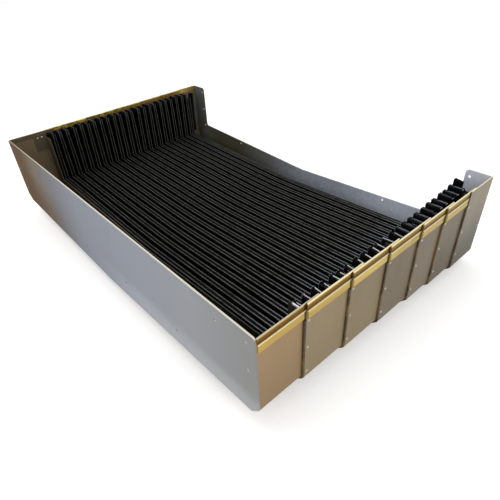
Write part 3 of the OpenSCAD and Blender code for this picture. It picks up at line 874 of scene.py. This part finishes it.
def makeBellows(size):
    low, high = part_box("bellows")
    outer, start, bottom, top = high[0], low[1], low[2], high[2]
    pitch = (high[1] - low[1]) / size["pleats"]
    bm = bmesh.new()
    for label in ("run", "seam", "depth", "pleat", "leg", "insert"):
        bm.verts.layers.float.new(label)
    legMark = bm.verts.layers.float["leg"]

    # floor half, from the middle out to past the corner
    chainVerts, floorChain = addPleatChain(bm, size, start, pitch)
    bmesh.ops.translate(bm, verts=list(chainVerts), vec=(0, 0, bottom))
    drawOut(bm, floorChain, (outer, 0, outer * size["slope"]), size["floorSteps"])
    mitre = Vector((1 - size["slope"], 0, 1)).normalized()
    corner = Vector((outer, 0, bottom + size["slope"] * outer))
    bmesh.ops.bisect_plane(bm, geom=bm.verts[:] + bm.edges[:] + bm.faces[:], dist=0.001 * mm,
                           plane_co=corner, plane_no=mitre, clear_outer=True)

    # leg, from its top down to past the corner
    chainVerts, legChain = addPleatChain(bm, size, start, pitch)
    bmesh.ops.rotate(bm, verts=list(chainVerts), cent=(0, 0, 0),
                     matrix=Matrix.Rotation(math.radians(-90), 3, "Y"))
    bmesh.ops.translate(bm, verts=list(chainVerts), vec=(outer, 0, top))
    for vert in chainVerts:
        vert[legMark] = 1.0
    drawOut(bm, legChain, (0, 0, -(top - bottom)), size["legSteps"])
    legGeom = partOf(bm, lambda vert: vert[legMark] > 0.5)
    bmesh.ops.bisect_plane(bm, geom=legGeom, dist=0.001 * mm, plane_co=corner, plane_no=mitre,
                           clear_inner=True)
    bmesh.ops.remove_doubles(bm, verts=bm.verts[:], dist=0.05 * mm)

    # the outer folds lie against the sections' 45 degree bend
    limit = outer - (bottom + size["slope"] * outer) - size["cornerLimit"]
    cutAt = Vector((outer, 0, outer - limit))
    bmesh.ops.bisect_plane(bm, geom=bm.verts[:] + bm.edges[:] + bm.faces[:], dist=0.001 * mm,
                           plane_co=cutAt, plane_no=Vector((1, 0, -1)).normalized())
    for vert in bm.verts:
        beyond = vert.co.x - vert.co.z - limit
        if beyond > 0:
            vert.co += Vector((-beyond / 2, 0, beyond / 2))
    print("bellows half:", len(bm.faces), "faces")

    addTops(bm, size, outer, top, start, pitch)
    bmesh.ops.mirror(bm, geom=bm.verts[:] + bm.edges[:] + bm.faces[:], matrix=Matrix.Identity(4),
                     merge_dist=0.02 * mm, axis="X")
    bmesh.ops.recalc_face_normals(bm, faces=bm.faces[:])
    shapeByHand(bm, size, bottom, top, start, pitch)
    return bm


def alongTable(table, value):
    for (x0, y0), (x1, y1) in zip(table, table[1:]):
        if value <= x1:
            return y0 + (y1 - y0) * max(0.0, value - x0) / (x1 - x0)
    return table[-1][1]


# soft middle, uneven folds and pinched, leaning pleat tops
def shapeByHand(bm, size, bottom, top, start, pitch):
    depthMark = bm.verts.layers.float["depth"]
    pleatMark = bm.verts.layers.float["pleat"]
    draw = random.Random(size["seed"])
    leans = [(draw.uniform(-1, 1), draw.uniform(-1, 1), draw.uniform(-1, 1), draw.uniform(-1, 1))
             for _ in range(size["pleats"] + 1)]
    for vert in bm.verts:
        x, y, z = vert.co
        deep = vert[depthMark]
        pleat = vert[pleatMark]
        floorLow = bottom + size["slope"] * abs(x)
        height = (z - floorLow - size["depth"]) / (top - floorLow - size["depth"])
        height = max(0.0, min(1.0, height))
        soft = size["slope"] * (math.hypot(x, size["softRidge"]) - abs(x))
        wave = noise.noise(Vector((x * 5.0, pleat * 0.9, 3.1)))
        along = noise.noise(Vector((x * 4.0 + 7, pleat * 1.7, 9.4)))
        rise = (soft + wave * size["waveDeep"] * deep) * (1 - height)
        shift = along * size["waveAlong"] * deep
        share = height * height
        tops = size["rightTops"] if x > 0 else size["leftTops"]
        rise += alongTable(tops, pleat) * mm * share
        if pleat % 1 > 0.25:
            tilt, lift = leans[int(pleat)][0:2] if x > 0 else leans[int(pleat)][2:4]
            middle = start + (int(pleat) + 0.5) * pitch
            shift += tilt * size["topLean"] * share * deep - (y - middle) * size["topPinch"] * share
            rise += lift * size["topUneven"] * share
        else:
            rise -= size["foldDrop"] * share
        vert.co = (x, y + shift, z + rise)


def finishBellows(bm, size):
    mesh = bpy.data.meshes.new("bellows_cloth")
    run = bm.verts.layers.float["run"]
    legMark = bm.verts.layers.float["leg"]
    seamMark = bm.verts.layers.float["seam"]
    uv = bm.loops.layers.uv.new("clothRun")
    level = [face for face in bm.faces
             if abs(face.normal.z) > 0.9 and abs(face.calc_center_median().x) < 0.1]
    crest = max(level, key=lambda face: face.calc_center_median().z)
    if crest.normal.z < 0:  # caps and sheets already face outwards
        insertMark = bm.verts.layers.float["insert"]
        skin = [face for face in bm.faces if face.verts[0][insertMark] < 0.5]
        bmesh.ops.reverse_faces(bm, faces=skin)
    for face in bm.faces:
        marks = [vert[seamMark] for vert in face.verts]
        if face.material_index != 3:
            face.material_index = 2 if min(marks) > 1.5 else 1 if min(marks) > 0.5 else 0
        face.smooth = True
        onLeg = sum(loop.vert[legMark] for loop in face.loops) / len(face.loops) > 0.5
        for loop in face.loops:
            place = loop.vert.co
            loop[uv].uv = (place.z if onLeg else place.x, loop.vert[run])
    bm.to_mesh(mesh)
    bm.free()
    mesh.materials.append(bellowsCloth)
    mesh.materials.append(bellowsSeam)
    mesh.materials.append(stiffenerEdge)
    mesh.materials.append(bellowsRimHighlight)
    mesh.set_sharp_from_angle(angle=math.radians(28))
    piece = bpy.data.objects.new("bellows_cloth", mesh)
    scene.collection.objects.link(piece)
    wall = piece.modifiers.new("clothThickness", "SOLIDIFY")
    wall.thickness = size["cloth"]
    wall.offset = -1
    wall.use_even_offset = False
    return piece


bellowsPiece = finishBellows(makeBellows(bellowsSizes), bellowsSizes)
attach(bellowsPiece, "base")
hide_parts("bellows")
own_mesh(bellowsPiece)
print("bellows built:", len(bellowsPiece.data.polygons), "faces")


# end folds: the cloth's last fold on each side, which wraps the far frame and stands higher
endFoldSizes = {
    "inner": 465.2 * mm,
    "outer": 484 * mm,
    "near": 262.9 * mm,
    "long": 9 * mm,
    "low": 88 * mm,
    "high": 217 * mm,
    "lean": 4 * mm,
    "slant": 3 * mm,
    "round": 1.2 * mm,
}


def makeEndFolds(size):
    bm = bmesh.new()
    middle = ((size["inner"] + size["outer"]) / 2, size["near"] + size["long"] / 2,
              (size["low"] + size["high"]) / 2)
    block = (size["outer"] - size["inner"], size["long"], size["high"] - size["low"])
    scaled = Matrix.Translation(middle) @ Matrix.Diagonal((*block, 1))
    bmesh.ops.create_cube(bm, size=1.0, matrix=scaled)
    upright = [edge for edge in bm.edges if abs(edge.verts[0].co.z - edge.verts[1].co.z) > 0.05]
    bmesh.ops.subdivide_edges(bm, edges=upright, cuts=8, use_grid_fill=True)
    for vert in bm.verts:
        share = (vert.co.z - size["low"]) / block[2]
        vert.co.y += size["lean"] * share * share
        vert.co.z -= size["slant"] * (vert.co.x - size["inner"]) / block[0] * share
    sharp = [edge for edge in bm.edges
             if len(edge.link_faces) == 2 and edge.calc_face_angle() > 1.0]
    bmesh.ops.bevel(bm, geom=sharp, offset=size["round"], affect="EDGES", segments=2, profile=0.5,
                    material=-1)
    bmesh.ops.mirror(bm, geom=bm.verts[:] + bm.edges[:] + bm.faces[:], matrix=Matrix.Identity(4),
                     merge_dist=0.001 * mm, axis="X")
    bmesh.ops.recalc_face_normals(bm, faces=bm.faces[:])
    mesh = bpy.data.meshes.new("bellows_end_folds")
    run = bm.loops.layers.uv.new("clothRun")
    depth = bm.verts.layers.float.new("depth")
    for vert in bm.verts:
        vert[depth] = 0.95
    for face in bm.faces:
        face.smooth = True
        for loop in face.loops:
            loop[run].uv = (loop.vert.co.z, loop.vert.co.x + loop.vert.co.y)
    bm.to_mesh(mesh)
    bm.free()
    mesh.materials.append(bellowsCloth)
    mesh.set_sharp_from_angle(angle=math.radians(35))
    piece = bpy.data.objects.new("bellows_end_folds", mesh)
    scene.collection.objects.link(piece)
    return piece


endFolds = makeEndFolds(endFoldSizes)
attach(endFolds, "cover_7")
print("end folds built:", len(endFolds.data.polygons), "faces")


# floor, light and camera
stageLook = {"floorSize": 14.0, "floorColour": (0.9, 0.9, 0.9, 1), "floorLight": 0.32,
             "worldLight": 0.75}


def makeFloor(look):
    bm = bmesh.new()
    bmesh.ops.create_grid(bm, x_segments=1, y_segments=1, size=look["floorSize"] / 2)
    mesh = bpy.data.meshes.new("floor")
    bm.to_mesh(mesh)
    bm.free()
    floor = bpy.data.objects.new("floor", mesh)
    scene.collection.objects.link(floor)
    material, tree, shader = newMaterial("floorPaper")
    shader.inputs["Base Color"].default_value = look["floorColour"]
    shader.inputs["Roughness"].default_value = 0.9
    shader.inputs["Specular IOR Level"].default_value = 0.1
    path = addNode(tree, "ShaderNodeLightPath").outputs
    seen = addMath(tree, "MULTIPLY", path["Is Camera Ray"], look["floorLight"])
    tree.links.new(seen, shader.inputs["Emission Strength"])
    shader.inputs["Emission Color"].default_value = (1, 1, 1, 1)
    mesh.materials.append(material)


def makeWorld(look):
    world = bpy.data.worlds.new("studio")
    scene.world = world
    world.use_nodes = True
    tree = world.node_tree
    background = tree.nodes["Background"]
    background.inputs["Color"].default_value = (1, 1, 1, 1)
    path = addNode(tree, "ShaderNodeLightPath").outputs
    direct = addMath(tree, "MAXIMUM", path["Is Camera Ray"],
                     addMath(tree, "MAXIMUM", path["Is Glossy Ray"], path["Is Transmission Ray"]))
    strength = addRange(tree, direct, 0, 1, look["worldLight"], 1.0, smooth=False)
    tree.links.new(strength, background.inputs["Strength"])


lamps = {
    "overhead": {"place": (-0.6, -0.5, 2.6), "aim": (0, 0, 0.1), "size": 2.2, "power": 20},
    "frontFill": {"place": (0.9, -2.6, 1.3), "aim": (0, -0.2, 0.1), "size": 1.8, "power": 12},
    "rightFill": {"place": (2.8, 0.2, 1.2), "aim": (0.4, 0, 0.1), "size": 1.8, "power": 12},
}


def makeLamp(name, look):
    data = bpy.data.lights.new(name, "AREA")
    data.shape = "SQUARE"
    data.size = look["size"]
    data.energy = look["power"]
    lamp = bpy.data.objects.new(name, data)
    lamp.location = look["place"]
    aim = Vector(look["aim"]) - Vector(look["place"])
    lamp.rotation_euler = aim.to_track_quat("-Z", "Y").to_euler()
    scene.collection.objects.link(lamp)


cameraLook = {"place": (0.78838896, -0.56245916, 0.642565), "turn": (53.50478, 2.75095, 48.00991),
              "lens": 30.756, "sensor": 36.0}


def makeCamera(look):
    data = bpy.data.cameras.new("photoCamera")
    data.lens = look["lens"]
    data.sensor_width = look["sensor"]
    data.clip_end = 60
    camera = bpy.data.objects.new("photoCamera", data)
    camera.location = look["place"]
    camera.rotation_euler = [math.radians(angle) for angle in look["turn"]]
    scene.collection.objects.link(camera)
    scene.camera = camera


makeFloor(stageLook)
makeWorld(stageLook)
for name, look in lamps.items():
    makeLamp(name, look)
makeCamera(cameraLook)
scene.view_settings.view_transform = "Standard"
print("stage built")
